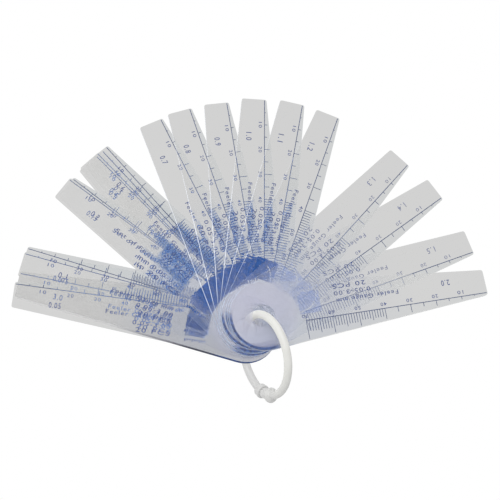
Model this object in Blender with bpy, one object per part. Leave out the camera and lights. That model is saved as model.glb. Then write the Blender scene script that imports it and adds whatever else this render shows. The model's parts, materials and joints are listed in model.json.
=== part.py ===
"""Loose-leaf feeler gauge: twenty translucent plastic leaves fanned out on one
white plastic snap ring.

Frame: metres, +Z up.  The origin is at the middle of the object's footprint,
on the level of the ring's lowest point.  The leaves lie flat and parallel, one
on top of the other, and each turns about its own hole, which hangs on the
ring's wire.  The ring stands almost upright, leans sideways, and reaches out
of the stack towards -Y, where its clasp is.
"""
import math

import bmesh
import bpy
from mathutils import Matrix, Vector

MM = 0.001

# ---------------------------------------------------------------- dimensions
# One leaf, seen from above with its hub at the origin and its tip along +X.
TIP_REACH = 85.4 * MM        # centre of the hole to the tip
TIP_HALF_WIDTH = 4.85 * MM
TIP_CORNER = 0.8 * MM        # corner radius at the tip
HUB_RADIUS = 12.6 * MM       # round end of the leaf
HOLE_RADIUS = 4.2 * MM
HUB_STEPS = 28               # segments on the round end
HOLE_STEPS = 28
CORNER_STEPS = 4

LEAF_GAP = 0.05 * MM         # air between one leaf and the next

# The ring: a wire bent to a circle, in a plane that holds the -Y direction
# and leans towards +X as it rises.
WIRE_RADIUS = 1.5 * MM
RING_RADIUS = 15.0 * MM      # to the middle of the wire
RING_LEAN = math.radians(18.5)
RING_CENTRE_HEIGHT = 9.8 * MM   # above the underside of the lowest leaf
WIRE_STEP = 6.0              # degrees of ring between two sections of the wire

# Places along the ring, in degrees: 0 is at the leaves' holes, 90 at the top,
# 180 at the outside, 270 underneath.
PIVOT_AT = 43.0              # the two halves of the ring bend open here
PIVOT_CUT = 0.2              # half the width of the cut between them
FLANGE_FROM, FLANGE_TO = 195.0, 201.0
SLEEVE_TO = 216.5            # mouth of the socket sleeve
BORE_FROM = 206.0            # bottom of the socket's bore
PEG_FROM = 207.5             # end of the peg, inside the bore
COLLAR_FROM, COLLAR_TO = 217.0, 229.5
STEP = 0.7                   # degrees over which the radius changes
END_STEP = 0.3               # the short first and last steps of a wire

FLANGE_RADIUS = 2.85 * MM
SLEEVE_RADIUS = 2.0 * MM
BORE_RADIUS = 1.45 * MM
PEG_RADIUS = 1.05 * MM
COLLAR_RADIUS = 2.65 * MM

# Where the stack stands in the object's frame: the middle of the wire at the
# holes, and the underside of the lowest leaf.
HUB_X = -2.35 * MM
HUB_Y = -26.2 * MM
STACK_Z = 5.9 * MM

# The leaves from the lowest to the top one: thickness in mm, direction of the
# tip in degrees from +X, and how far in mm (x, y) the leaf hangs off the
# middle of the wire.
LEAVES = [
    (3.0, 153.1, 0.4, 0.2),
    (0.05, 156.6, -0.4, 0.4),
    (0.075, 148.9, 0.1, 0.5),
    (0.1, 147.2, 0.2, -0.1),
    (0.15, 127.0, 0.5, 0.7),
    (0.2, 126.3, 0.9, -0.2),
    (0.3, 117.8, 0.7, -0.2),
    (0.4, 117.4, 0.6, 0.2),
    (0.5, 116.2, 0.8, -0.5),
    (0.6, 115.1, 0.8, -0.3),
    (0.7, 99.2, 0.7, -1.0),
    (0.8, 91.5, 0.8, -0.6),
    (0.9, 81.9, 0.7, -0.7),
    (1.0, 72.1, 0.7, 0.3),
    (1.1, 62.3, 0.6, 0.5),
    (1.2, 53.0, 0.3, -0.3),
    (1.3, 31.2, -0.6, -0.5),
    (1.4, 19.5, 0.2, -0.3),
    (1.5, 3.8, 0.0, -0.5),
    (2.0, -6.8, -0.4, -0.3),
]


# ------------------------------------------------------------------- helpers
def material(name, colour, roughness, alpha=1.0):
    mat = bpy.data.materials.new(name)
    mat.use_nodes = True
    shader = mat.node_tree.nodes["Principled BSDF"]
    shader.inputs["Base Color"].default_value = (*colour, 1.0)
    shader.inputs["Roughness"].default_value = roughness
    shader.inputs["Metallic"].default_value = 0.0
    shader.inputs["Alpha"].default_value = alpha
    mat.diffuse_color = (*colour, alpha)
    return mat


def ring_point(degrees, radius=RING_RADIUS):
    """A point in the ring's plane, at this angle along the ring."""
    t = math.radians(degrees)
    up = Vector((math.sin(RING_LEAN), 0.0, math.cos(RING_LEAN)))
    out = Vector((0.0, -1.0, 0.0))
    centre = Vector((HUB_X, HUB_Y, STACK_Z + RING_CENTRE_HEIGHT)) + out * RING_RADIUS
    return centre - out * radius * math.cos(t) + up * radius * math.sin(t)


def wire_at_height(z):
    """The middle of the wire where it passes this height inside the holes."""
    rise = (z - STACK_Z - RING_CENTRE_HEIGHT) / (RING_RADIUS * math.cos(RING_LEAN))
    return ring_point(math.degrees(math.asin(rise)))


def arc(centre, radius, start, end, steps):
    """Points on an arc in the plane, both ends included; angles in radians."""
    points = []
    for i in range(steps + 1):
        a = start + (end - start) * i / steps
        points.append((centre[0] + radius * math.cos(a), centre[1] + radius * math.sin(a)))
    return points


def leaf_outline():
    """Straight edges that run from the small tip corners to touch the round
    end, going once round the leaf."""
    cx, cy = TIP_REACH - TIP_CORNER, TIP_HALF_WIDTH - TIP_CORNER
    reach = math.hypot(cx, cy)
    # direction, from either arc's centre, of the point where the edge touches
    touch = math.atan2(cy, cx) + math.acos((HUB_RADIUS - TIP_CORNER) / reach)
    points = arc((cx, -cy), TIP_CORNER, -touch, 0.0, CORNER_STEPS)
    points += arc((cx, cy), TIP_CORNER, 0.0, touch, CORNER_STEPS)
    points += arc((0.0, 0.0), HUB_RADIUS, touch, 2 * math.pi - touch, HUB_STEPS)
    return points


def flat_plate(name, outlines, thickness, mat, collection):
    """A flat piece from closed outlines, the later ones being holes, centred
    on its own origin in thickness."""
    curve = bpy.data.curves.new(name, "CURVE")
    curve.dimensions = "2D"
    curve.fill_mode = "BOTH"
    curve.extrude = thickness / 2
    curve.resolution_u = 1
    curve.render_resolution_u = 0
    for outline in outlines:
        spline = curve.splines.new("POLY")
        spline.points.add(len(outline) - 1)
        for point, (x, y) in zip(spline.points, outline):
            point.co = (x, y, 0.0, 1.0)
        spline.use_cyclic_u = True
    curve.materials.append(mat)
    plate = bpy.data.objects.new(name, curve)
    collection.objects.link(plate)
    return plate


def ring_wire(name, stations, mat, collection):
    """A closed tube along the ring; each station is (degrees, tube radius)."""
    curve = bpy.data.curves.new(name, "CURVE")
    curve.dimensions = "3D"
    curve.fill_mode = "FULL"
    curve.bevel_depth = 1.0 * MM
    curve.bevel_resolution = 4
    curve.use_fill_caps = True
    curve.resolution_u = 1
    curve.render_resolution_u = 0
    spline = curve.splines.new("POLY")
    spline.points.add(len(stations) - 1)
    for point, (degrees, radius) in zip(spline.points, stations):
        point.co = (*ring_point(degrees), 1.0)
        point.radius = radius / curve.bevel_depth
    wire = bpy.data.objects.new(name, curve)
    collection.objects.link(wire)

    # a real mesh, its caps welded on
    bpy.context.view_layer.update()
    evaluated = wire.evaluated_get(bpy.context.evaluated_depsgraph_get())
    mesh = bpy.data.meshes.new_from_object(evaluated)
    solid = bpy.data.objects.new(name, mesh)
    solid.matrix_world = wire.matrix_world.copy()
    bpy.data.objects.remove(wire, do_unlink=True)
    bpy.data.curves.remove(curve)
    work = bmesh.new()
    work.from_mesh(mesh)
    bmesh.ops.remove_doubles(work, verts=work.verts, dist=1e-6)
    bmesh.ops.recalc_face_normals(work, faces=work.faces)
    work.to_mesh(mesh)
    work.free()
    mesh.name = name
    mesh.materials.clear()
    mesh.materials.append(mat)
    mesh.shade_smooth()
    mesh.set_sharp_from_angle(angle=math.radians(40))
    solid.name = name
    collection.objects.link(solid)
    return solid


def even_stations(start, end, radius):
    """Stations of one radius, with a short step at both ends so that the end
    sections stand square to the ring."""
    first, last = start + END_STEP, end - END_STEP
    count = max(1, math.ceil((last - first) / WIRE_STEP))
    inner = [(first + (last - first) * i / count, radius) for i in range(count + 1)]
    return [(start, radius)] + inner + [(end, radius)]


def put_origin_at(obj, place):
    """Move an object's origin without moving its shape."""
    obj.data.transform(Matrix.Translation(-place))
    obj.location = place


# --------------------------------------------------------------------- model
for old in list(bpy.data.objects):
    bpy.data.objects.remove(old, do_unlink=True)

gauge = bpy.data.collections.new("feeler_gauge")
cutters = bpy.data.collections.new("cutters")
bpy.context.scene.collection.children.link(gauge)
bpy.context.scene.collection.children.link(cutters)

leaf_plastic = material("leaf_plastic", (0.78, 0.78, 0.77), 0.35, alpha=0.6)
ring_plastic = material("ring_plastic", (0.86, 0.86, 0.83), 0.4)

# leaves, from the lowest up
underside = STACK_Z
for thickness_mm, direction, hang_x, hang_y in LEAVES:
    thickness = thickness_mm * MM
    middle = underside + thickness / 2
    wire = wire_at_height(middle)
    hole = arc((0.0, 0.0), HOLE_RADIUS, 0.0, 2 * math.pi, HOLE_STEPS)[:-1]
    name = "leaf_" + ("%g" % thickness_mm if thickness_mm % 1 else "%.1f" % thickness_mm).replace(".", "_")
    leaf = flat_plate(name, [leaf_outline(), hole], thickness, leaf_plastic, gauge)
    leaf.location = (wire.x + hang_x * MM, wire.y + hang_y * MM, middle)
    leaf.rotation_euler = (0.0, 0.0, math.radians(direction))
    underside += thickness + LEAF_GAP

# lower half of the ring: peg, collar, then the wire underneath and up through
# the holes
lower = ring_wire(
    "ring_lower",
    [(PEG_FROM, PEG_RADIUS * 0.75)]
    + even_stations(PEG_FROM + STEP, COLLAR_FROM, PEG_RADIUS)
    + [(COLLAR_FROM + 0.1, COLLAR_RADIUS * 0.86), (COLLAR_FROM + 0.4, COLLAR_RADIUS * 0.87),
       (COLLAR_FROM + 3.0, COLLAR_RADIUS), (COLLAR_TO - 3.0, COLLAR_RADIUS),
       (COLLAR_TO - 0.4, COLLAR_RADIUS * 0.87), (COLLAR_TO - 0.1, COLLAR_RADIUS * 0.86)]
    + even_stations(COLLAR_TO, 360.0 + PIVOT_AT - PIVOT_CUT, WIRE_RADIUS),
    ring_plastic, gauge)
put_origin_at(lower, ring_point(0.0))

# upper half of the ring: the wire over the top and down the outside, the
# flange and the socket sleeve
upper = ring_wire(
    "ring_upper",
    even_stations(PIVOT_AT + PIVOT_CUT, FLANGE_FROM, WIRE_RADIUS)
    + [(FLANGE_FROM + STEP, FLANGE_RADIUS), (FLANGE_TO - STEP, FLANGE_RADIUS)]
    + even_stations(FLANGE_TO, SLEEVE_TO, SLEEVE_RADIUS),
    ring_plastic, gauge)
bore = ring_wire(
    "socket_bore",
    even_stations(BORE_FROM, SLEEVE_TO + 2.0, BORE_RADIUS),
    ring_plastic, cutters)
bore.hide_render = True
bore.display_type = "WIRE"
cut = upper.modifiers.new("socket", "BOOLEAN")
cut.operation = "DIFFERENCE"
cut.solver = "EXACT"
cut.object = bore
# the upper half swings about a line across the ring, on the wire's outer skin
put_origin_at(upper, ring_point(PIVOT_AT, RING_RADIUS + WIRE_RADIUS))
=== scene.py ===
"""Looks for the feeler gauge: milky plastic leaves printed in blue, and a white
nylon snap ring, on a pale studio table.

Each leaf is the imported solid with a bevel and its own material.  What is
printed on it is one thin piece of ink that rides on the leaf.  The ring's two
halves are rebuilt with finer surfaces around the same circle.
"""

import json
import math
from types import SimpleNamespace

import bmesh
import bpy
from mathutils import Matrix, Vector


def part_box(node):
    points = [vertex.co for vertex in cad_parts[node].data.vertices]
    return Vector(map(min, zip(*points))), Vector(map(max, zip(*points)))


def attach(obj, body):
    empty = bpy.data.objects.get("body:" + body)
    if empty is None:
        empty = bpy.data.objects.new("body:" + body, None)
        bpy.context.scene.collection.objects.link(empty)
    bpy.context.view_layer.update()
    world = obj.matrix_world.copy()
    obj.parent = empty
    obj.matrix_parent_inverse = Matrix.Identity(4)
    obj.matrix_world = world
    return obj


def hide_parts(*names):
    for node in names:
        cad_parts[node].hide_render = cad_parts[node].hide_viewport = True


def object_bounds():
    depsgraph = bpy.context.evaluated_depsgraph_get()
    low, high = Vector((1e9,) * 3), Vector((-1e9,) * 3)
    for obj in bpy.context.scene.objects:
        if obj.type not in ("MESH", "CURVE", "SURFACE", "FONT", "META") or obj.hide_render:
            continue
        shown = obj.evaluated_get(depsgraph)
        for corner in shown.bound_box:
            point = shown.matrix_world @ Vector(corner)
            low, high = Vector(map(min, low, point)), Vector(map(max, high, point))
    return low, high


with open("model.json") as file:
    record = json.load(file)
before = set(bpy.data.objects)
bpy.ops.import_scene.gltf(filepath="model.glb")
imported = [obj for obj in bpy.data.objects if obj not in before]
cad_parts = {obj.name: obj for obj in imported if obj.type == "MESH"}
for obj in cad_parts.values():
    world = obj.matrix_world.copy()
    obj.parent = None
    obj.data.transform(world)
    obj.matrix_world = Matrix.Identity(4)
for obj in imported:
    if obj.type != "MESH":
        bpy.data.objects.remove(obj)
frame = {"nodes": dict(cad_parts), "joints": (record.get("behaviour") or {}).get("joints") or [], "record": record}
cad_low, cad_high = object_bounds()

MM = 0.001

# ------------------------------------------------------------ the leaves' shape
# A leaf's own frame: hub at the origin, tip along +X, the printed scale along
# the clockwise (-Y) edge.
HUB_RADIUS = 12.6 * MM
HOLE_RADIUS = 4.2 * MM
AT_TIP = 0.995               # of a leaf's reach; only the tip's corners are farther out
BEVEL_SHARE = 0.12           # of a leaf's thickness
BEVEL_MOST = 0.14 * MM
SHARP = math.radians(50)     # surfaces that meet at more than this angle have an edge

# Thicknesses in mm, between the leaves' own, at which a leaf's look changes.
FOIL = 0.12                  # the three leaves below have a duller badge
THIN = 0.25                  # the two leaves from FOIL to here have longer words
CUT_SHOWS = 0.65             # thinner leaves' cut edges are too fine to see
THICK = 1.25                 # thicker leaves are hazy and have a pale badge
FAINT_WORDS = 1.75           # the leaves from THICK to here have fainter words
THICKEST = 2.5               # only the lowest leaf is thicker

# --------------------------------------------------------------------- printing
# Print places are in mm: s runs from the tip towards the hub along the scale
# line, w is the height above that line, towards the leaf's scale edge.
SCALE_START = 0.35           # the scale's zero, in from the tip
SCALE_LINE = 4.0             # from the leaf's centreline
SCALE_FIRST = 5              # the first tick's place
SCALE_END = 70
FINE_FROM = 40               # from here on the scale has a tick every mm
TICK_LONG = {10: 1.1, 20: 2.0, 30: 3.0, 40: 4.0, 50: 5.0, 60: 6.0, 70: 6.9}     # length, by number
FIVE_SHARE = 0.5             # a tick at a five, of the next long tick's length
FINE_FIVE_SHARE = 0.75       # the same past FINE_FROM
FINE_SHARE = 0.6             # a tick at a single mm
LINE_WIDTH = 0.3
TICK_WIDTH = 0.24
FINE_TICK_WIDTH = 0.25
NUMBER_PLACE = (0.1, -1.6)   # a scale number's middle, from its tick's foot
NUMBER_SIZE = (2.35, 1.3)    # width and height
LABEL_PLACE = (15.0, -6.0)   # the thickness
LABEL_SIZE = (1.1, 2.1)      # width of a character, height
ROWS = [                     # words, start and end along s, middle in w, capital height
    ("Feeler Gauge mm", 33.6, 57.3, -5.45, 1.6),
    ("0.05-3.00", 43.8, 57.8, -8.25, 1.6),
    ("20 PCS", 45.2, 57.8, -10.85, 1.65),
]
LONG_ROWS = [
    ("Set of Feeler Gauges", 24.5, 57.3, -5.45, 1.6),
    ("mm 0.05-3.00", 37.0, 57.8, -8.25, 1.6),
    ("in 20 PCS", 38.5, 57.8, -10.85, 1.65),
]
PRINT_SHADOWS = [                   # first and last s and w: painted shadow of the print round the words and ticks
    (37.0, 58.4, -6.7, -4.3),
    (43.2, 58.4, -12.2, -6.7),
    (40.0, 60.5, 0.2, 3.2),
]
BOLDER = 0.01                # how much each stroke of the lettering is widened
SPACING = 1.2                # between letters
INK_LIFT = 0.012 * MM        # the ink's underside above the leaf's face
INK_THICKNESS = 0.012 * MM
PRINT_SHADOW_THICKNESS = 0.3        # of the ink's
WELD_INK = 0.0005            # mm
INK_SLOT, BADGE_SLOT, LINE_SLOT, PRINT_SHADOW_SLOT = range(4)

# the badge: blades fanned out from one corner of a square, over a dashed strip
BADGE_CORNER = Vector((71.7, -10.7))
BADGE_SIDE = 8.2
BLADES = 5
BLADE_TURN = 18              # degrees
BLADE_GAP = 0.8              # degrees, on each side of a blade
BLADE_NEAR, BLADE_FAR = 1.3, 7.3
BADGE_RIM = 7.6              # the square starts again this far from the corner
DASHES = 9
DASH_START, DASH_STEP, DASH_LENGTH = 63.4, 0.9, 0.5
DASH_TOP, DASH_FOOT, DASH_RISE = -11.7, -12.7, 0.25


# --------------------------------------------------------------- material nodes
class Shader:
    """One material's node tree, with short ways to add to it."""

    def __init__(self, name):
        self.material = bpy.data.materials.new(name)
        self.material.use_nodes = True
        self.tree = self.material.node_tree
        self.tree.nodes.clear()

    def node(self, kind, **settings):
        made = self.tree.nodes.new(kind)
        for key, value in settings.items():
            setattr(made, key, value)
        return made

    def feed(self, socket, value):
        """Link an output to the socket, or set the socket's own value."""
        if isinstance(value, bpy.types.NodeSocket):
            self.tree.links.new(value, socket)
        elif hasattr(value, "__len__") and len(value) == 3 and socket.type == "RGBA":
            socket.default_value = (*value, 1.0)
        else:
            socket.default_value = value

    def math(self, operation, *values):
        made = self.node("ShaderNodeMath", operation=operation)
        for socket, value in zip(made.inputs, values):
            self.feed(socket, value)
        return made.outputs[0]

    def times(self, first, *others):
        """The product of two or more masks."""
        for other in others:
            first = self.math("MULTIPLY", first, other)
        return first

    def inverse(self, value):
        """1 where the mask is 0, and 0 where it is 1."""
        return self.math("SUBTRACT", 1.0, value)

    def vector_math(self, operation, first, second):
        made = self.node("ShaderNodeVectorMath", operation=operation)
        self.feed(made.inputs[0], first)
        self.feed(made.inputs[1], second)
        return made

    def dot(self, vector, direction):
        return self.vector_math("DOT_PRODUCT", vector, direction).outputs["Value"]

    def between(self, value, low, high, at_low=0.0, at_high=1.0):
        """A smooth step: at_low below low, at_high above high."""
        made = self.node("ShaderNodeMapRange", interpolation_type="SMOOTHSTEP")
        for socket, number in zip(made.inputs, (value, low, high, at_low, at_high)):
            self.feed(socket, number)
        return made.outputs[0]

    def zone(self, distance, ends, at_first=0.0, at_last=1.0):
        """A smooth step over a zone whose two ends are given in mm."""
        first, last = ends
        return self.between(distance, first * MM, last * MM, at_first, at_last)

    def colour(self, factor, first, second, blend="MIX"):
        made = self.node("ShaderNodeMix", data_type="RGBA", blend_type=blend)
        self.feed(made.inputs["Factor"], factor)
        self.feed(made.inputs[6], first)
        self.feed(made.inputs[7], second)
        return made.outputs[2]

    def noise(self, vector, scale, detail=3.0, roughness=0.5):
        made = self.node("ShaderNodeTexNoise")
        self.feed(made.inputs["Vector"], vector)
        self.feed(made.inputs["Scale"], scale)
        self.feed(made.inputs["Detail"], detail)
        self.feed(made.inputs["Roughness"], roughness)
        return made.outputs["Fac"]

    def bump(self, height, strength, distance):
        made = self.node("ShaderNodeBump")
        self.feed(made.inputs["Strength"], strength)
        self.feed(made.inputs["Distance"], distance)
        self.feed(made.inputs["Height"], height)
        return made.outputs["Normal"]

    def plastic(self, colour, roughness, normal=None, specular=0.4):
        made = self.node("ShaderNodeBsdfPrincipled")
        self.feed(made.inputs["Base Color"], colour)
        self.feed(made.inputs["Roughness"], roughness)
        self.feed(made.inputs["Specular IOR Level"], specular)
        if normal is not None:
            self.feed(made.inputs["Normal"], normal)
        return made.outputs[0]

    def light_up(self, plastic, colour, strength):
        """Add light that comes out of a plastic made with plastic()."""
        self.feed(plastic.node.inputs["Emission Color"], colour)
        self.feed(plastic.node.inputs["Emission Strength"], strength)

    def clear(self, colour=(1.0, 1.0, 1.0)):
        made = self.node("ShaderNodeBsdfTransparent")
        self.feed(made.inputs["Color"], colour)
        return made.outputs[0]

    def mix(self, factor, first, second):
        made = self.node("ShaderNodeMixShader")
        self.feed(made.inputs[0], factor)
        self.feed(made.inputs[1], first)
        self.feed(made.inputs[2], second)
        return made.outputs[0]

    def layers_above(self):
        """How many see-through surfaces the camera's ray has already crossed."""
        return self.node("ShaderNodeLightPath").outputs["Transparent Depth"]

    def seen_front(self):
        """1 where the camera looks at the outside of the surface, or else 0."""
        camera = self.node("ShaderNodeLightPath").outputs["Is Camera Ray"]
        behind = self.node("ShaderNodeNewGeometry").outputs["Backfacing"]
        return self.times(camera, self.inverse(behind))

    def finish(self, surface):
        out = self.node("ShaderNodeOutputMaterial")
        self.tree.links.new(surface, out.inputs["Surface"])
        return self.material


# ------------------------------------------------------------------- the leaves
FACE = (0.56, 0.56, 0.555)
FACE_INNER = (0.37, 0.385, 0.44)    # towards the hub, where more leaves overlap
FACE_AT_HUB = (0.41, 0.41, 0.52)
FACE_CLOUD = (0.52, 0.52, 0.515)
CLEAR = (0.930, 0.930, 0.927)       # what one leaf lets through
CLEAR_INNER = (0.905, 0.915, 0.940)
CLEAR_STRIP = (0.975, 0.992, 1.0)   # times this along the printed scale
CLEAR_THICKEST = (0.86, 0.86, 0.86) # times this in the lowest leaf
DEEPEST = 16.0                      # surfaces, after which a leaf takes no more light
THICKEST_SHADE = 0.28               # how much darker the lowest leaf's faces are
EDGE_WHITE = (0.80, 0.85, 0.97)     # cut edges along the leaf, up to THICK
EDGE_PALE = (0.66, 0.66, 0.66)      # those of the leaves above THICK; the lowest
EDGE_GREY = (0.30, 0.30, 0.33)      # leaf's turn grey and dark towards the hub
EDGE_DARK = (0.05, 0.055, 0.08)
EDGE_NAVY = (0.012, 0.025, 0.10)    # walls and rims round the hub
EDGE_BLUE = (0.04, 0.09, 0.27)
EDGE_SKY_HIGHLIGHT = (0.40, 0.60, 0.88)       # corners round the hub: a painted highlight
# painted shade on the walls of the hole, blue-grey
EDGE_HOLE_SHADE = (0.16, 0.20, 0.34)
EDGE_GLOW = 0.30                    # light that comes out of the cut edges
GLOW_LEAST = 0.35                   # of that, towards the tip
SHINE = 0.5                         # of what a glossy plastic would reflect
IOR = 1.45

# The upright part of the surface's normal, 0 on a wall and 1 on a flat face.
SIDE_TILT = (0.35, 0.95)            # the cut edge, walls and corners, ends
WALL_TILT = (0.1, 0.3)              # the wall ends

# Zones in which the look changes, in mm from the hub's centre.
DISC_ZONE = (11.0, 15.0)            # the hub disc's own colour ends
HUB_ZONE = (13.4, 17.5)             # the blue edges round the hub end
INNER_ZONE = (20.0, 60.0)           # the inner half's colour and tint end
GLOW_ZONE = (30.0, 75.0)            # the edges' light fades
EDGE_ZONE = (35.0, 70.0)            # the edges' cover changes
DARK_ZONE = (18.0, 34.0)            # along the leaf: EDGE_DARK ends
GREY_ZONE = (32.0, 52.0)            # along the leaf: EDGE_GREY ends
STRIP_ZONE = (-SCALE_LINE - 0.6, -SCALE_LINE + 0.6)     # across the leaf: the scale strip ends
HOLE_ZONE = (HOLE_RADIUS / MM + 0.1, HOLE_RADIUS / MM + 0.6)    # the hole's edge ends

# Rims, in mm: the outermost ring of a face round the hub, with painted shade on one side.
RIM_SIDE = (-0.75, -0.66, 0.0)      # that side, for the leaves above THICK
RIM_SIDE_ZONE = (3.0, 8.0)          # from the hub's centre that way: the dark begins
RIM_SIDE_WIDTH = 1.2
RIM_FRONT = (-0.25, -0.93, 0.0)     # the same for the leaves up to THICK
RIM_FRONT_ZONE = (7.5, 11.0)
RIM_FRONT_WIDTH = 1.9
RIM_BLUR = 0.3

# Cover: how much the milk hides what is behind it.
HAZE = 0.03                         # of the faces of a leaf up to THICK
HAZE_AT_1_MM = 0.04                 # of a thicker leaf: this at 1 mm,
HAZE_PER_MM = 0.3                   # this more for each mm
HAZE_MOST = 0.5
EDGE_COVER = 0.95
EDGE_COVER_THICK = 0.6              # from THICK to THICKEST
EDGE_COVER_OUTER = 0.4              # times this towards the tip
EDGE_COVER_HOLE = 0.6
RIM_SHADE_COVER = 0.92


class Leaf:
    """Where one packed leaf is, read from the frame."""

    def __init__(self, joint):
        self.body = joint["child"]
        self.node = frame["nodes"][frame["record"]["behaviour"]["bodies"][self.body][0]]
        low, high = (corner.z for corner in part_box(self.node.name))
        self.thick = (high - low) / MM
        self.hub = Vector((*joint["pos_m"][:2], high))
        corners = {(round(v.co.x, 7), round(v.co.y, 7)) for v in self.node.data.vertices}
        away = [Vector(corner) - self.hub.xy for corner in sorted(corners)]
        farthest = max(a.length for a in away)
        at_tip = [a for a in away if a.length > AT_TIP * farthest]
        tip = sum(at_tip, Vector((0.0, 0.0)))
        self.heading = math.atan2(tip.y, tip.x)
        self.reach = max(a @ tip.normalized() for a in away)
        self.label = self.body.removeprefix("leaf_").replace("_", ".")

    def place(self):
        """From the leaf's own frame, hub at the origin and tip along +X, to the row frame."""
        return Matrix.Translation(self.hub) @ Matrix.Rotation(self.heading, 4, "Z")


def leaf_places(shader, leaf):
    """Where on the leaf a point is: in the leaf's own frame, and as masks from 0
    to 1 for the cut edge, the wall of that edge, and the zones above."""
    coords = shader.node("ShaderNodeTexCoord")
    own = shader.node("ShaderNodeMapping", vector_type="TEXTURE")
    shader.feed(own.inputs["Vector"], coords.outputs["Object"])
    shader.feed(own.inputs["Location"], leaf.hub)
    shader.feed(own.inputs["Rotation"], (0.0, 0.0, leaf.heading))
    place = shader.node("ShaderNodeSeparateXYZ")
    shader.feed(place.inputs[0], own.outputs[0])
    along, across, _ = place.outputs
    flat = shader.node("ShaderNodeCombineXYZ")
    shader.feed(flat.inputs[0], along)
    shader.feed(flat.inputs[1], across)
    length = shader.node("ShaderNodeVectorMath", operation="LENGTH")
    shader.feed(length.inputs[0], flat.outputs[0])

    at = SimpleNamespace(own=own.outputs[0], along=along, radius=length.outputs["Value"])
    at.from_hub = shader.vector_math("SUBTRACT", coords.outputs["Object"], leaf.hub).outputs[0]
    upright = shader.math("ABSOLUTE", shader.dot(coords.outputs["Normal"], (0.0, 0.0, 1.0)))
    at.side = shader.between(upright, *SIDE_TILT, 1.0, 0.0)
    at.wall = shader.between(upright, *WALL_TILT, 1.0, 0.0)
    at.inner = shader.zone(at.radius, INNER_ZONE, 1.0, 0.0)
    at.hub = shader.zone(at.radius, HUB_ZONE, 1.0, 0.0)
    at.disc = shader.zone(at.radius, DISC_ZONE, 1.0, 0.0)
    at.hole = shader.zone(at.radius, HOLE_ZONE, 1.0, 0.0)
    at.strip = shader.zone(across, STRIP_ZONE, 1.0, 0.0)
    return at


def leaf_rim(shader, leaf, at):
    """The painted shade on the face's outermost ring round the hub; the lowest leaf has none."""
    if leaf.thick > THICKEST:
        return 0.0
    if leaf.thick > THICK:
        turned = shader.zone(shader.dot(at.from_hub, RIM_SIDE), RIM_SIDE_ZONE)
        start = HUB_RADIUS - RIM_SIDE_WIDTH * MM
    else:
        turned = shader.zone(shader.dot(at.from_hub, RIM_FRONT), RIM_FRONT_ZONE)
        start = HUB_RADIUS - RIM_FRONT_WIDTH * MM
    rim = shader.between(at.radius, start, start + RIM_BLUR * MM)
    return shader.times(rim, turned, shader.inverse(at.side), at.hub)


def leaf_edge(shader, leaf, at):
    """The colour of the cut edges, and of the walls round the hub.  There they
    pick up the blue of the print, dark on the walls; the corners get a pale painted highlight."""
    streak = shader.noise(at.own, 900.0, 2.0)
    hub_wall = shader.colour(shader.between(streak, 0.35, 0.65), EDGE_NAVY, EDGE_BLUE)
    # painted highlight on the corners, the walls' blue between them
    hub_edge = shader.colour(at.wall, EDGE_SKY_HIGHLIGHT, hub_wall)
    # painted shade inside the hole
    hub_edge = shader.colour(at.hole, hub_edge, EDGE_HOLE_SHADE)
    long_edge = EDGE_WHITE if leaf.thick < THICK else EDGE_PALE
    if leaf.thick > THICKEST:
        long_edge = shader.colour(shader.zone(at.along, GREY_ZONE), EDGE_GREY, long_edge)
        long_edge = shader.colour(shader.zone(at.along, DARK_ZONE), EDGE_DARK, long_edge)
    return shader.colour(at.hub, long_edge, hub_edge), hub_wall


def leaf_face(shader, leaf, at, cloud):
    """The colour of the top and bottom faces."""
    face = shader.colour(at.inner, FACE, FACE_INNER)
    face = shader.colour(at.disc, face, FACE_AT_HUB)
    face = shader.colour(shader.between(cloud, 0.3, 0.7, 0.0, 0.25), face, FACE_CLOUD)
    if leaf.thick > THICKEST:
        face = shader.colour(THICKEST_SHADE, face, (0.0, 0.0, 0.0))
    return face


def leaf_cover(shader, leaf, at, rim):
    """How much of what is behind the milk hides: little on the faces, most on
    the cut edges and on the painted shade of the rims of leaves that are thick enough to show them."""
    shows = 1.0 if leaf.thick > CUT_SHOWS else 0.0
    haze = min(HAZE_MOST, HAZE_AT_1_MM + HAZE_PER_MM * (leaf.thick - 1.0))
    haze = HAZE if leaf.thick < THICK else haze
    inner = EDGE_COVER_THICK if THICK < leaf.thick < THICKEST else EDGE_COVER * shows
    outer = inner if leaf.thick > THICKEST else EDGE_COVER_OUTER * inner
    edge = shader.zone(at.radius, EDGE_ZONE, inner, outer)
    edge = shader.between(at.hub, 0.0, 1.0, edge, EDGE_COVER * shows)
    edge = shader.between(at.hole, 0.0, 1.0, edge, EDGE_COVER_HOLE * shows)
    rim_shade_cover = shader.times(rim, RIM_SHADE_COVER * shows)
    face = shader.math("MAXIMUM", haze, rim_shade_cover)
    return shader.math("MAXIMUM", face, shader.times(at.side, edge))


def leaf_glow(shader, leaf, at):
    """Where light comes out: of the long edges up to THICK, and of the hub's corners."""
    glow = 0.0
    if leaf.thick < THICK:
        glow = shader.zone(at.radius, GLOW_ZONE, 1.0, GLOW_LEAST)
        glow = shader.times(glow, shader.inverse(at.hub))
    glow = shader.math("MAXIMUM", glow, shader.times(at.hub, shader.inverse(at.wall)))
    return shader.times(glow, shader.inverse(at.hole), at.side)


def leaf_clear(shader, leaf, at):
    """What the leaf lets through, tinted less the more leaves lie over it."""
    tint = shader.colour(at.inner, CLEAR, CLEAR_INNER)
    tint = shader.colour(at.strip, tint, CLEAR_STRIP, "MULTIPLY")
    if leaf.thick > THICKEST:
        tint = shader.colour(1.0, tint, CLEAR_THICKEST, "MULTIPLY")
    used_up = shader.between(shader.layers_above(), 0.0, DEEPEST)
    return shader.clear(shader.colour(used_up, tint, (1.0, 1.0, 1.0)))


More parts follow.
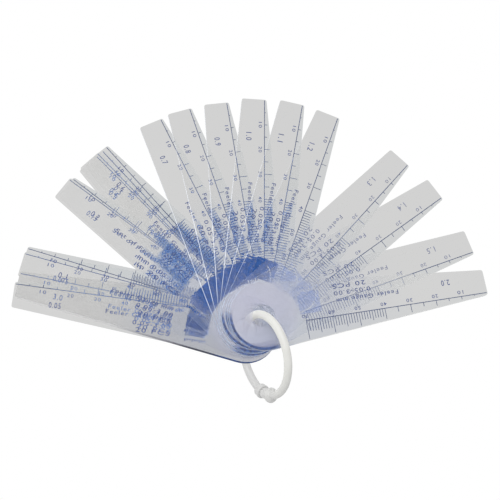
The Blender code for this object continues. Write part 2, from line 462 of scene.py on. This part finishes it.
def leaf_material(leaf):
    """Milky plastic: what is behind shows through and a haze lies over it.  The
    cut edges glow white along the leaves from CUT_SHOWS to THICK."""
    shader = Shader("milky_" + leaf.body)
    at = leaf_places(shader, leaf)
    cloud = shader.noise(at.own, 90.0, 4.0, 0.55)
    frost = shader.noise(at.own, 2500.0, 2.0)
    rough = shader.between(cloud, 0.2, 0.8, 0.3, 0.5)
    rim = leaf_rim(shader, leaf, at)
    edge, hub_wall = leaf_edge(shader, leaf, at)
    colour = shader.colour(at.side, leaf_face(shader, leaf, at, cloud), edge)
    # painted shade on the rims round the hub, in the walls' navy
    colour = shader.colour(rim, colour, hub_wall)
    milk = shader.plastic(colour, rough, shader.bump(frost, 0.15, 0.02 * MM))
    shader.light_up(milk, edge, shader.times(leaf_glow(shader, leaf, at), EDGE_GLOW))

    shine = SHINE
    if leaf.thick > THICKEST:
        # the lowest leaf's side is dull
        dull = shader.node("ShaderNodeBsdfDiffuse")
        shader.feed(dull.inputs["Color"], edge)
        milk = shader.mix(at.side, milk, dull.outputs[0])
        shine = shader.between(at.side, 0.0, 1.0, SHINE, 0.0)
    body = shader.mix(leaf_cover(shader, leaf, at, rim), leaf_clear(shader, leaf, at), milk)
    gloss = shader.node("ShaderNodeBsdfGlossy")
    shader.feed(gloss.inputs["Roughness"], rough)
    fresnel = shader.node("ShaderNodeFresnel")
    shader.feed(fresnel.inputs["IOR"], IOR)
    surface = shader.mix(shader.times(fresnel.outputs[0], shine), body, gloss.outputs[0])
    return shader.finish(shader.mix(shader.seen_front(), shader.clear(), surface))


def dress_leaf(leaf):
    """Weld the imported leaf's faces together, round its edges, give it its look."""
    weld = leaf.node.modifiers.new("weld", "WELD")
    weld.merge_threshold = 0.001 * MM
    bevel = leaf.node.modifiers.new("round_edges", "BEVEL")
    bevel.width = min(BEVEL_SHARE * leaf.thick * MM, BEVEL_MOST)
    bevel.segments = 2
    bevel.limit_method = "ANGLE"
    bevel.angle_limit = SHARP
    leaf.node.data.materials.clear()
    leaf.node.data.materials.append(leaf_material(leaf))


# ----------------------------------------------------------------- the printing
def ink_material(name, colour, deep_colour, cover):
    """Ink, nearly solid and a little uneven where the print is thin.  It looks
    bluer the more plastic lies over it."""
    shader = Shader(name)
    coords = shader.node("ShaderNodeTexCoord").outputs["Object"]
    patch = shader.noise(coords, 700.0, 3.0)
    base = shader.colour(shader.between(shader.layers_above(), 0.0, 4.0), colour, deep_colour)
    thin = shader.colour(1.0, base, (1.35, 1.35, 1.35), "MULTIPLY")
    tint = shader.colour(shader.between(patch, 0.3, 0.7), base, thin)
    ink = shader.plastic(tint, 0.5, shader.bump(patch, 0.2, 0.01 * MM), 0.25)
    solid = shader.between(patch, 0.25, 0.6, cover * 0.85, cover)
    front = shader.times(solid, shader.seen_front())
    return shader.finish(shader.mix(front, shader.clear(), ink))


def stain_material():
    """Painted shadow of the print on the leaves below it.  It hardly shows on the topmost leaf and
    adds up where several leaves lie over each other."""
    shader = Shader("painted_print_shadow")
    coords = shader.node("ShaderNodeTexCoord").outputs["Object"]
    patch = shader.noise(coords, 500.0, 3.0)
    tint = shader.colour(shader.between(patch, 0.3, 0.7), (0.012, 0.10, 0.30), (0.03, 0.13, 0.36))
    ink = shader.plastic(tint, 0.6, None, 0.1)
    strength = shader.between(shader.layers_above(), 1.0, 6.0, 0.0, 0.38)
    uneven = shader.between(patch, 0.3, 0.65, 0.75, 1.0)
    front = shader.times(strength, uneven, shader.seen_front())
    return shader.finish(shader.mix(front, shader.clear(), ink))


def add_bar(work, s0, s1, w0, w1, slot, share=1.0):
    """A flat bar of ink in the print's plane, in mm; share is of the full thickness."""
    thick = share * INK_THICKNESS / MM
    middle = Vector(((s0 + s1) / 2, (w0 + w1) / 2, thick / 2))
    size = Matrix.Diagonal((s1 - s0, w1 - w0, thick, 1.0))
    made = bmesh.ops.create_cube(work, size=1.0, matrix=Matrix.Translation(middle) @ size)
    for face in {f for v in made["verts"] for f in v.link_faces}:
        face.material_index = slot


def add_prism(work, corners, slot):
    """A flat patch of ink with this outline, counterclockwise, in mm."""
    low = [work.verts.new((s, w, 0.0)) for s, w in corners]
    high = [work.verts.new((s, w, INK_THICKNESS / MM)) for s, w in corners]
    faces = [work.faces.new(high), work.faces.new(low[::-1])]
    for i in range(len(corners)):
        j = (i + 1) % len(corners)
        faces.append(work.faces.new((low[i], low[j], high[j], high[i])))
    for face in faces:
        face.material_index = slot


def words_mesh(words):
    """The words as a solid one unit thick."""
    curve = bpy.data.curves.new("words", "FONT")
    curve.body = words
    curve.resolution_u = 3
    curve.offset = BOLDER
    curve.space_character = SPACING
    curve.extrude = 0.5
    holder = bpy.data.objects.new("words", curve)
    bpy.context.scene.collection.objects.link(holder)
    bpy.context.view_layer.update()
    solid = holder.evaluated_get(bpy.context.evaluated_depsgraph_get())
    mesh = bpy.data.meshes.new_from_object(solid)
    bpy.data.objects.remove(holder)
    bpy.data.curves.remove(curve)
    return mesh


def measure(mesh):
    """The mesh's left, right, bottom and top."""
    xs = [v.co.x for v in mesh.vertices]
    ys = [v.co.y for v in mesh.vertices]
    return min(xs), max(xs), min(ys), max(ys)


DIGIT_HEIGHT = measure(words_mesh("0"))[3]


def add_words(work, words, middle_s, middle_w, capital, length):
    """Words centred on a place, with this capital height and whole width."""
    mesh = words_mesh(words)
    left, right, _, _ = measure(mesh)
    tall = capital / DIGIT_HEIGHT
    wide = length / (right - left)
    thick = INK_THICKNESS / MM
    start = Vector((middle_s - wide * (left + right) / 2, middle_w - capital / 2, thick / 2))
    mesh.transform(Matrix.Translation(start) @ Matrix.Diagonal((wide, tall, thick, 1.0)))
    work.from_mesh(mesh)
    bpy.data.meshes.remove(mesh)


def tick(s):
    """Length and width of the tick at s, or None where the scale has none."""
    next_long = TICK_LONG[s - s % 10 + (10 if s % 10 else 0)]
    if s % 10 == 0:
        return next_long, TICK_WIDTH
    if s % 5 == 0:
        return (FINE_FIVE_SHARE if s > FINE_FROM else FIVE_SHARE) * next_long, FINE_TICK_WIDTH
    if s > FINE_FROM:
        return FINE_SHARE * next_long, FINE_TICK_WIDTH
    return None


def add_scale(work):
    """The long line along the scale edge, its ticks and its numbers."""
    add_bar(work, 0.0, SCALE_END, -LINE_WIDTH / 2, LINE_WIDTH / 2, LINE_SLOT)
    for s in range(SCALE_FIRST, SCALE_END + 1):
        if s % 10 == 0:
            number_s, number_w = s + NUMBER_PLACE[0], NUMBER_PLACE[1]
            add_words(work, str(s), number_s, number_w, NUMBER_SIZE[1], NUMBER_SIZE[0])
        if tick(s):
            length, width = tick(s)
            add_bar(work, s - width / 2, s + width / 2, 0.0, length, LINE_SLOT)


def add_badge(work):
    """A small badge: a fanned-out gauge in a square, over a dashed strip."""

    def spot(radius, degrees):
        turn = math.radians(90 + degrees)
        return tuple(BADGE_CORNER + Vector((radius * math.cos(turn), radius * math.sin(turn))))

    for blade in range(BLADES):
        start = BLADE_TURN * blade + BLADE_GAP
        end = BLADE_TURN * (blade + 1) - BLADE_GAP
        start_side = [spot(BLADE_NEAR, start), spot(BLADE_FAR, start)]
        end_side = [spot(BLADE_FAR, end), spot(BLADE_NEAR, end)]
        add_prism(work, start_side + end_side, BADGE_SLOT)
    near_s, near_w = BADGE_CORNER
    far_s, far_w = near_s - BADGE_SIDE, near_w + BADGE_SIDE
    rim = [spot(BADGE_RIM, 10 * step) for step in range(10)]
    add_prism(work, rim + [(far_s, near_w), (far_s, far_w), (near_s, far_w)], BADGE_SLOT)
    for dash in range(DASHES):
        s = DASH_START + DASH_STEP * dash
        foot = DASH_FOOT + DASH_RISE * (dash % 3)
        add_bar(work, s, s + DASH_LENGTH, foot, DASH_TOP, BADGE_SLOT)


def print_leaf(leaf, inks):
    """All the ink on one leaf, as one piece that rides on it."""
    work = bmesh.new()
    add_scale(work)
    label = leaf.label
    add_words(work, label, *LABEL_PLACE, LABEL_SIZE[1], LABEL_SIZE[0] * len(label))
    rows = LONG_ROWS if FOIL < leaf.thick < THIN else ROWS
    for words, start, end, middle_w, capital in rows:
        add_words(work, words, (start + end) / 2, middle_w, capital, end - start)
    # painted shadow of the print, as thin ink round the words of the middle leaves
    if FOIL < leaf.thick < THICK:
        for s0, s1, w0, w1 in PRINT_SHADOWS:
            add_bar(work, s0, s1, w0, w1, PRINT_SHADOW_SLOT, PRINT_SHADOW_THICKNESS)
    add_badge(work)
    bmesh.ops.remove_doubles(work, verts=work.verts, dist=WELD_INK)
    mesh = bpy.data.meshes.new("print_" + leaf.body)
    work.to_mesh(mesh)
    work.free()
    # from print places in mm to the leaf's own frame: half a turn about +Z
    zero = (leaf.reach - SCALE_START * MM, -SCALE_LINE * MM, INK_LIFT)
    to_leaf = Matrix.Translation(zero) @ Matrix.Rotation(math.pi, 4, "Z")
    mesh.transform(leaf.place() @ to_leaf @ Matrix.Scale(MM, 4))
    for ink in inks:
        mesh.materials.append(ink)
    piece = bpy.data.objects.new("print_" + leaf.body, mesh)
    bpy.context.scene.collection.objects.link(piece)
    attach(piece, leaf.body)


# colour on the topmost leaf, colour under other leaves, cover
INK = ink_material("blue_ink", (0.03, 0.05, 0.16), (0.006, 0.065, 0.25), 0.93)
LINE_INK = ink_material("line_ink", (0.022, 0.04, 0.11), (0.008, 0.055, 0.20), 0.9)
BADGE_INK = ink_material("badge_ink", (0.006, 0.05, 0.20), (0.004, 0.05, 0.22), 0.95)
DULL_INK = ink_material("dull_ink", (0.03, 0.055, 0.17), (0.02, 0.06, 0.19), 0.68)
PALE_INK = ink_material("pale_ink", (0.15, 0.20, 0.38), (0.13, 0.20, 0.42), 0.45)
FAINT_INK = ink_material("faint_ink", (0.03, 0.05, 0.16), (0.02, 0.065, 0.22), 0.7)
# painted shadow of the print
PRINT_SHADOW_INK = stain_material()


def leaf_inks(leaf):
    """The inks of the words, the badge, the scale's lines and the painted print shadows, by slot."""
    badge = BADGE_INK
    if leaf.thick < FOIL:
        badge = DULL_INK
    elif leaf.thick > THICK:
        badge = PALE_INK
    words = FAINT_INK if THICK < leaf.thick < FAINT_WORDS else INK
    return words, badge, LINE_INK, PRINT_SHADOW_INK


for joint in frame["joints"]:
    if joint["name"].startswith("leaf_"):
        leaf = Leaf(joint)
        dress_leaf(leaf)
        print_leaf(leaf, leaf_inks(leaf))


# --------------------------------------------------------------------- the ring
RING_RADIUS = 15.0           # mm, to the middle of the wire
WIRE = 1.5                   # mm, the wire's radius
OPENS_AT = 43.0              # degrees round the ring, from its highest +Y point
HAIRLINE = 0.04              # degrees, between the halves where they bend open
STEP = 1.5                   # degrees between two sections
SECTION = 40                 # points round a section
SEAM = 0.03                  # mm, the parting line's height
SEAM_SHARPNESS = 40          # the higher, the narrower the parting line
SEAM_FROM = 1.2              # mm; thinner sections have no parting line
RIBS = 9                     # shallow ribs along the socket sleeve

hinge = next(joint for joint in frame["joints"] if joint["name"] == "ring_opening")
lean = math.atan2(hinge["axis"][2], -hinge["axis"][0])
ring_up = Vector((math.sin(lean), 0.0, math.cos(lean)))
ring_out = Vector((0.0, 1.0, 0.0))
ring_normal = ring_up.cross(ring_out)


def round_the_ring(degrees):
    """The direction from the ring's centre to this place on it."""
    angle = math.radians(degrees)
    return ring_out * math.cos(angle) + ring_up * math.sin(angle)


ring_centre = Vector(hinge["pos_m"]) - round_the_ring(OPENS_AT) * (RING_RADIUS + WIRE) * MM


def even(start, end, radius):
    """Sections of one radius, as (degrees, radius in mm, height of ribs)."""
    count = max(1, round(abs(end - start) / STEP))
    return [(start + (end - start) * i / count, radius, 0.0) for i in range(count + 1)]


def smooth(*sections):
    """Sections without ribs, from (degrees, radius in mm)."""
    return [(degrees, radius, 0.0) for degrees, radius in sections]


def ring_section(work, degrees, radius, rib):
    """One closed loop of points round the wire."""
    out = round_the_ring(degrees)
    middle = ring_centre + out * RING_RADIUS * MM
    loop = []
    for i in range(SECTION):
        turn = 2 * math.pi * i / SECTION
        reach = radius + rib * math.cos(RIBS * turn)
        if radius > SEAM_FROM:
            reach += SEAM * max(0.0, math.cos(2 * turn)) ** SEAM_SHARPNESS
        way = out * math.sin(turn) + ring_normal * math.cos(turn)
        loop.append(work.verts.new(middle + way * reach * MM))
    return loop


def ring_half(name, sections, nylon):
    """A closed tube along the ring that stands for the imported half."""
    work = bmesh.new()
    loops = [ring_section(work, *section) for section in sections]
    for first, second in zip(loops, loops[1:]):
        for i in range(SECTION):
            j = (i + 1) % SECTION
            work.faces.new((first[i], first[j], second[j], second[i]))
    work.faces.new(loops[0][::-1])
    work.faces.new(loops[-1])
    bmesh.ops.recalc_face_normals(work, faces=work.faces)
    mesh = bpy.data.meshes.new(name + "_wire")
    work.to_mesh(mesh)
    work.free()
    mesh.shade_smooth()
    mesh.set_sharp_from_angle(angle=SHARP)
    mesh.materials.append(nylon)
    half = bpy.data.objects.new(name + "_wire", mesh)
    bpy.context.scene.collection.objects.link(half)
    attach(half, name)
    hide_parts(name)


def ring_material():
    """Warm white nylon with a waxy skin, with painted shade low down, underneath
    and in the corners of the clasp."""
    shader = Shader("white_nylon")
    coords = shader.node("ShaderNodeTexCoord")
    cloud = shader.noise(coords.outputs["Object"], 250.0, 3.0)
    grain = shader.noise(coords.outputs["Object"], 3000.0, 2.0)
    height = shader.dot(coords.outputs["Object"], (0.0, 0.0, 1.0))
    # painted shade: darker low down
    low = shader.between(height, 0.0, cad_high.z, 1.0, 0.0)
    # painted shade on the side that faces down and away
    under = shader.between(shader.dot(coords.outputs["Normal"], (0.45, -0.30, -0.84)), -0.5, 0.9)
    # painted shade in the corners of the clasp, from the part's own occlusion
    corner = shader.node("ShaderNodeAmbientOcclusion", only_local=True, samples=8)
    shader.feed(corner.inputs["Distance"], 2.5 * MM)
    corner_shade = shader.between(corner.outputs["AO"], 0.35, 0.95, 0.5, 0.0)
    colour = shader.colour(cloud, (0.60, 0.60, 0.575), (0.67, 0.67, 0.645))
    colour = shader.colour(low, colour, (0.52, 0.52, 0.52))
    colour = shader.colour(shader.times(under, 0.6), colour, (0.24, 0.24, 0.245))
    colour = shader.colour(corner_shade, colour, (0.2, 0.2, 0.2))
    rough = shader.between(cloud, 0.2, 0.8, 0.35, 0.5)
    return shader.finish(shader.plastic(colour, rough, shader.bump(grain, 0.2, 0.03 * MM)))


NYLON = ring_material()

# the half with the socket: out along the skin, then back inside the bore
BALL = smooth((194.0, 1.62), (195.0, 1.95), (196.0, 2.4), (197.0, 2.7), (198.2, 2.85))
BALL_END = smooth((199.4, 2.78), (200.4, 2.55), (201.0, 2.2), (201.3, 2.0))
SLEEVE = [(202.0 + 1.4 * i, 1.95, 0.05) for i in range(11)]
BORE = smooth((216.5, 1.85), (216.5, 1.5), (216.2, 1.45), (206.0, 1.45))
UPPER_WIRE = even(OPENS_AT + HAIRLINE, 193.0, WIRE)
ring_half("ring_upper", UPPER_WIRE + BALL + BALL_END + SLEEVE + BORE, NYLON)

# the half with the peg, and the collar with a low waist round its middle
PEG = smooth((207.5, 0.8), (208.0, 1.05), (217.0, 1.05))
COLLAR = smooth((217.0, 2.15), (217.6, 2.45), (218.8, 2.62), (220.2, 2.65), (221.6, 2.5))
WAIST = smooth((223.2, 2.38), (224.8, 2.45), (226.2, 2.5), (227.4, 2.35))
COLLAR_END = smooth((228.4, 2.0), (229.2, 1.7), (230.2, 1.53))
LOWER_WIRE = even(231.5, 360.0 + OPENS_AT - HAIRLINE, WIRE)
ring_half("ring_lower", PEG + COLLAR + WAIST + COLLAR_END + LOWER_WIRE, NYLON)


# --------------------------------------------------------------- table and light
TABLE_SIZE = 4.0
TABLE_GAP = 0.2 * MM
WHITE = (0.92, 0.92, 0.92)
WHITE_GRAIN = (0.90, 0.90, 0.90)
UNDER_PLASTIC = 0.675        # the table's brightness where a leaf lies in front of it
SKY_LIGHT = 0.85
SOFTBOX_SIZE = 0.5
SOFTBOX_POWER = 2.2
SOFTBOX_PLACE = Vector((-0.15, 0.25, 0.6))


def table_material():
    """White and evenly lit, and duller where it is seen through a leaf, which
    keeps part of the light off it."""
    shader = Shader("table")
    covered = shader.math("GREATER_THAN", shader.layers_above(), 0.5)
    grain = shader.noise(shader.node("ShaderNodeTexCoord").outputs["Object"], 40.0)
    paper = shader.plastic(shader.colour(grain, WHITE, WHITE_GRAIN), 0.9, None, 0.0)
    seen = shader.node("ShaderNodeEmission")
    brightness = shader.colour(covered, (1.0, 1.0, 1.0), (UNDER_PLASTIC,) * 3)
    shader.feed(seen.inputs["Color"], brightness)
    by_camera = shader.node("ShaderNodeLightPath").outputs["Is Camera Ray"]
    return shader.finish(shader.mix(by_camera, paper, seen.outputs[0]))


bpy.ops.mesh.primitive_plane_add(size=TABLE_SIZE, location=(0.0, 0.0, cad_low.z - TABLE_GAP))
table = bpy.context.object
table.name = "table"
table.data.materials.append(table_material())

scene = bpy.context.scene
scene.world = bpy.data.worlds.new("studio")
scene.world.use_nodes = True
sky = scene.world.node_tree.nodes["Background"]
sky.inputs["Color"].default_value = (1.0, 1.0, 1.0, 1.0)
sky.inputs["Strength"].default_value = SKY_LIGHT

light = bpy.data.lights.new("softbox", "AREA")
light.shape = "DISK"
light.size = SOFTBOX_SIZE
light.energy = SOFTBOX_POWER
softbox = bpy.data.objects.new("softbox", light)
softbox.location = SOFTBOX_PLACE
softbox.rotation_euler = (-SOFTBOX_PLACE).to_track_quat("-Z", "Y").to_euler()
scene.collection.objects.link(softbox)

# ------------------------------------------------------------------- the camera
VIEW_TARGET = Vector((6.66, 0.36, 5.9)) * MM
VIEW_ELEVATION = math.radians(71.77)
VIEW_AZIMUTH = math.radians(-46.54)
VIEW_ROLL = math.radians(30.18)
VIEW_DISTANCE = 515.2 * MM
LENS = 97.7
MOST_LAYERS = 160            # see-through surfaces that a camera ray may cross

back = Vector((
    math.sin(VIEW_AZIMUTH) * math.cos(VIEW_ELEVATION),
    -math.cos(VIEW_AZIMUTH) * math.cos(VIEW_ELEVATION),
    math.sin(VIEW_ELEVATION),
))
level = Vector((math.cos(VIEW_AZIMUTH), math.sin(VIEW_AZIMUTH), 0.0))
rise = back.cross(level)
right = level * math.cos(VIEW_ROLL) + rise * math.sin(VIEW_ROLL)
up = rise * math.cos(VIEW_ROLL) - level * math.sin(VIEW_ROLL)
turned = Matrix((right, up, back)).transposed().to_4x4()
camera_data = bpy.data.cameras.new("camera")
camera_data.lens = LENS
camera_data.sensor_width = 36.0
camera_data.clip_start = 0.01
camera = bpy.data.objects.new("camera", camera_data)
camera.matrix_world = Matrix.Translation(VIEW_TARGET + back * VIEW_DISTANCE) @ turned
scene.collection.objects.link(camera)
scene.camera = camera
scene.view_settings.view_transform = "Standard"
scene.cycles.transparent_max_bounces = MOST_LAYERS
